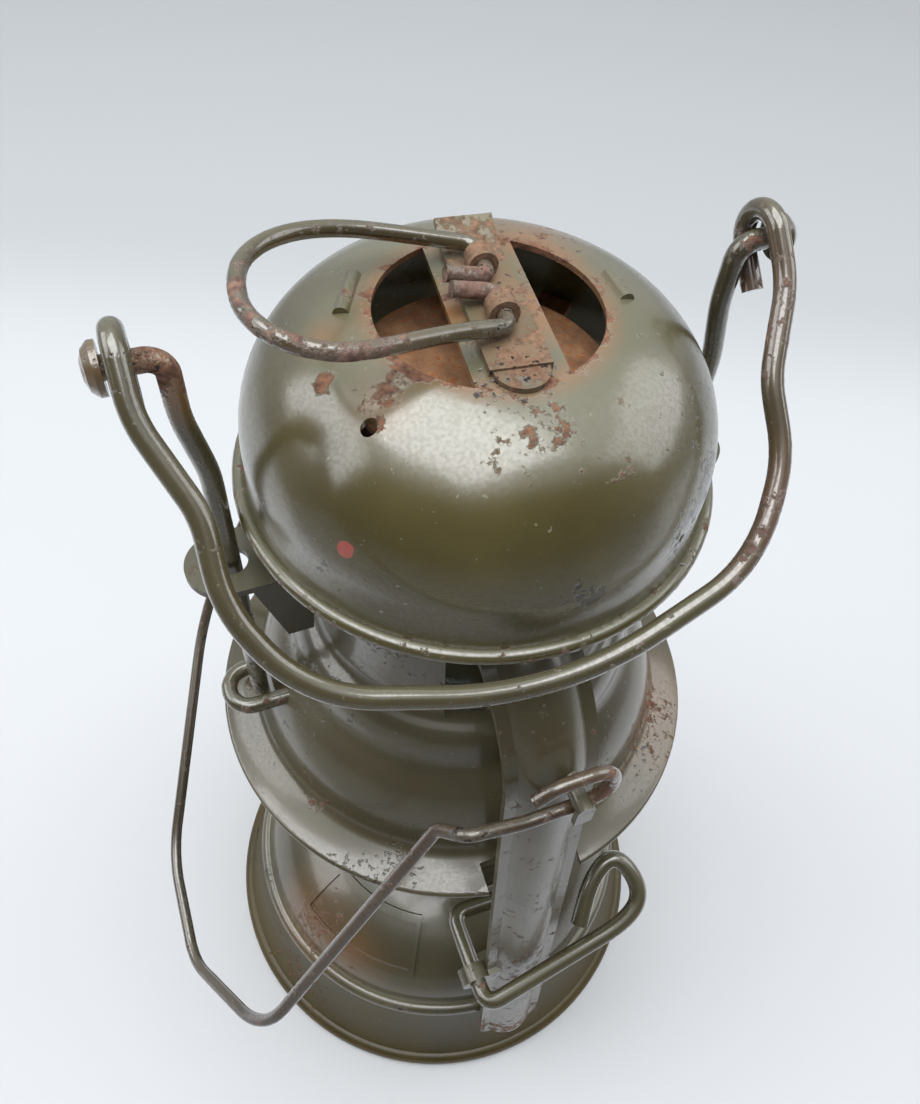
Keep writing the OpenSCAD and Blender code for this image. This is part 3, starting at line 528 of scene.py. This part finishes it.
# painted reflection: for glossy rays only the front of the floor is painted dark, so the enamel mirrors a dimmer
# floor there
path = add(tree, "ShaderNodeLightPath").outputs
painted_dark_reflection = add(tree, "ShaderNodeMapRange", {"Value": along, **DARK_REFLECTION_EDGE, "To Min": 1.0, "To Max": 0.0},
          interpolation_type="SMOOTHSTEP").outputs[0]
painted_dark_reflection = add(tree, "ShaderNodeMath", {0: painted_dark_reflection, 1: path["Is Glossy Ray"]}, operation="MULTIPLY").outputs[0]
colour = add(tree, "ShaderNodeMix", {FACTOR: painted_dark_reflection, COLOUR_A: colour, COLOUR_B: linear(PAINTED_REFLECTION_TINT)},
             data_type="RGBA").outputs[MIXED]
tooth = add(tree, "ShaderNodeTexNoise", {"Vector": place, "Scale": per_mm(0.8), "Detail": 2.0}).outputs["Fac"]
form = add(tree, "ShaderNodeBump", {"Height": tooth, "Strength": 0.05, "Distance": 0.05 * MM}).outputs[0]
sheet = add(tree, "ShaderNodeBsdfPrincipled", {"Base Color": colour, "Roughness": 0.55, "Normal": form})
# far from the lamps the paper runs into the pale wall without an edge
away = add(tree, "ShaderNodeVectorMath", {0: place}, operation="LENGTH").outputs["Value"]
fade = add(tree, "ShaderNodeMapRange", {"Value": away, **FADE_TO_WALL}, interpolation_type="SMOOTHSTEP").outputs[0]
fade = add(tree, "ShaderNodeMath", {0: fade, 1: path["Is Camera Ray"]}, operation="MULTIPLY").outputs[0]
wall = add(tree, "ShaderNodeEmission", {"Color": linear(WALL_TINT), "Strength": WALL_LEVEL})
sheet = add(tree, "ShaderNodeMixShader", {0: fade, 1: sheet.outputs[0], 2: wall.outputs[0]})
add(tree, "ShaderNodeOutputMaterial", {"Surface": sheet.outputs[0]})
mesh = bpy.data.meshes.new("floor")
floor_corners = [(FLOOR_HALF * x, FLOOR_HALF * y, 0) for x, y in ((-1, -1), (1, -1), (1, 1), (-1, 1))]
mesh.from_pydata(floor_corners, [], [(0, 1, 2, 3)])
mesh.materials.append(floor_paper)
floor = bpy.data.objects.new("floor", mesh)
bpy.context.scene.collection.objects.link(floor)
floor.location.z = -FLOOR_DROP

# the room: pale behind the lantern, dark at the open front, bright overhead
BACK_LEVEL = 0.46
FRONT_LEVEL = 0.08
ROOF_LEVEL = 0.8
FRONT_EDGE = {"From Min": -0.7, "From Max": 0.7}
ROOF_EDGE = {"From Min": 0.62, "From Max": 0.84}
world = bpy.data.worlds.new("pale room")
bpy.context.scene.world = world
world.use_nodes = True
room = world.node_tree
room.nodes.clear()
gaze = add(room, "ShaderNodeTexCoord").outputs["Generated"]
front = add(room, "ShaderNodeVectorMath", {0: gaze, 1: -VIEW_ALONG}, operation="DOT_PRODUCT").outputs["Value"]
level = add(room, "ShaderNodeMapRange", {"Value": front, **FRONT_EDGE, "To Min": BACK_LEVEL, "To Max": FRONT_LEVEL},
            interpolation_type="SMOOTHSTEP").outputs[0]
height = add(room, "ShaderNodeSeparateXYZ", {0: gaze}).outputs["Z"]
roof = add(room, "ShaderNodeMapRange", {"Value": height, **ROOF_EDGE}, interpolation_type="SMOOTHSTEP").outputs[0]
level = add(room, "ShaderNodeMix", {FACTOR: roof, NUMBER_A: level, NUMBER_B: ROOF_LEVEL}).outputs[0]
# seen straight or through the glass, the room is one even pale wall
path = add(room, "ShaderNodeLightPath").outputs
clear = add(room, "ShaderNodeMath", {0: path["Is Camera Ray"], 1: path["Is Transmission Ray"]}, operation="MAXIMUM")
level = add(room, "ShaderNodeMix", {FACTOR: clear.outputs[0], NUMBER_A: level, NUMBER_B: WALL_LEVEL}).outputs[0]
walls = add(room, "ShaderNodeBackground", {"Color": linear(WALL_TINT), "Strength": level})
add(room, "ShaderNodeOutputWorld", {"Surface": walls.outputs[0]})

LIT_POINT = Vector((0, 0, 0.2))


def panel(name, azimuth, elevation, distance, width, height, radiance):
    """A flat soft light of even brightness that faces the upper part of the lantern."""
    a, e = radians(azimuth), radians(elevation)
    lamp = bpy.data.lights.new(name, "AREA")
    lamp.shape = "RECTANGLE"
    lamp.size = width
    lamp.size_y = height
    lamp.energy = radiance * pi * width * height
    holder = bpy.data.objects.new(name, lamp)
    bpy.context.scene.collection.objects.link(holder)
    holder.location = LIT_POINT + distance * Vector((sin(a) * cos(e), -cos(a) * cos(e), sin(e)))
    holder.rotation_euler = (LIT_POINT - holder.location).to_track_quat("-Z", "Y").to_euler()


# soft light as in a light tent: a broad panel overhead and one on each side
panel("overhead panel", azimuth=-70, elevation=84, distance=1.0, width=0.94, height=0.94, radiance=3.5)
panel("right panel", azimuth=82, elevation=31, distance=1.0, width=0.7, height=0.64, radiance=1.7)
panel("left panel", azimuth=-112, elevation=31, distance=1.0, width=0.8, height=0.56, radiance=2.3)

# camera: fitted to the circles of foot, flange and hood rim
PHOTO_WIDTH = 920
FOCAL_PX = 930
CAMERA_AT = Vector((-46.85, -98.07, 311.89)) * MM
FORWARD = Vector((0.25651, 0.55009, -0.79473))
RIGHT = Vector((0.93295, -0.35579, 0.05486))
eye = bpy.data.cameras.new("camera")
eye.sensor_fit = "HORIZONTAL"
eye.sensor_width = 36
eye.lens = FOCAL_PX / PHOTO_WIDTH * eye.sensor_width
eye.clip_start = 0.01
camera = bpy.data.objects.new("camera", eye)
bpy.context.scene.collection.objects.link(camera)
aim = Matrix((RIGHT, RIGHT.cross(FORWARD), -FORWARD)).transposed().to_4x4()
camera.matrix_world = Matrix.Translation(CAMERA_AT) @ aim
bpy.context.scene.camera = camera
bpy.context.scene.view_settings.view_transform = "Standard"
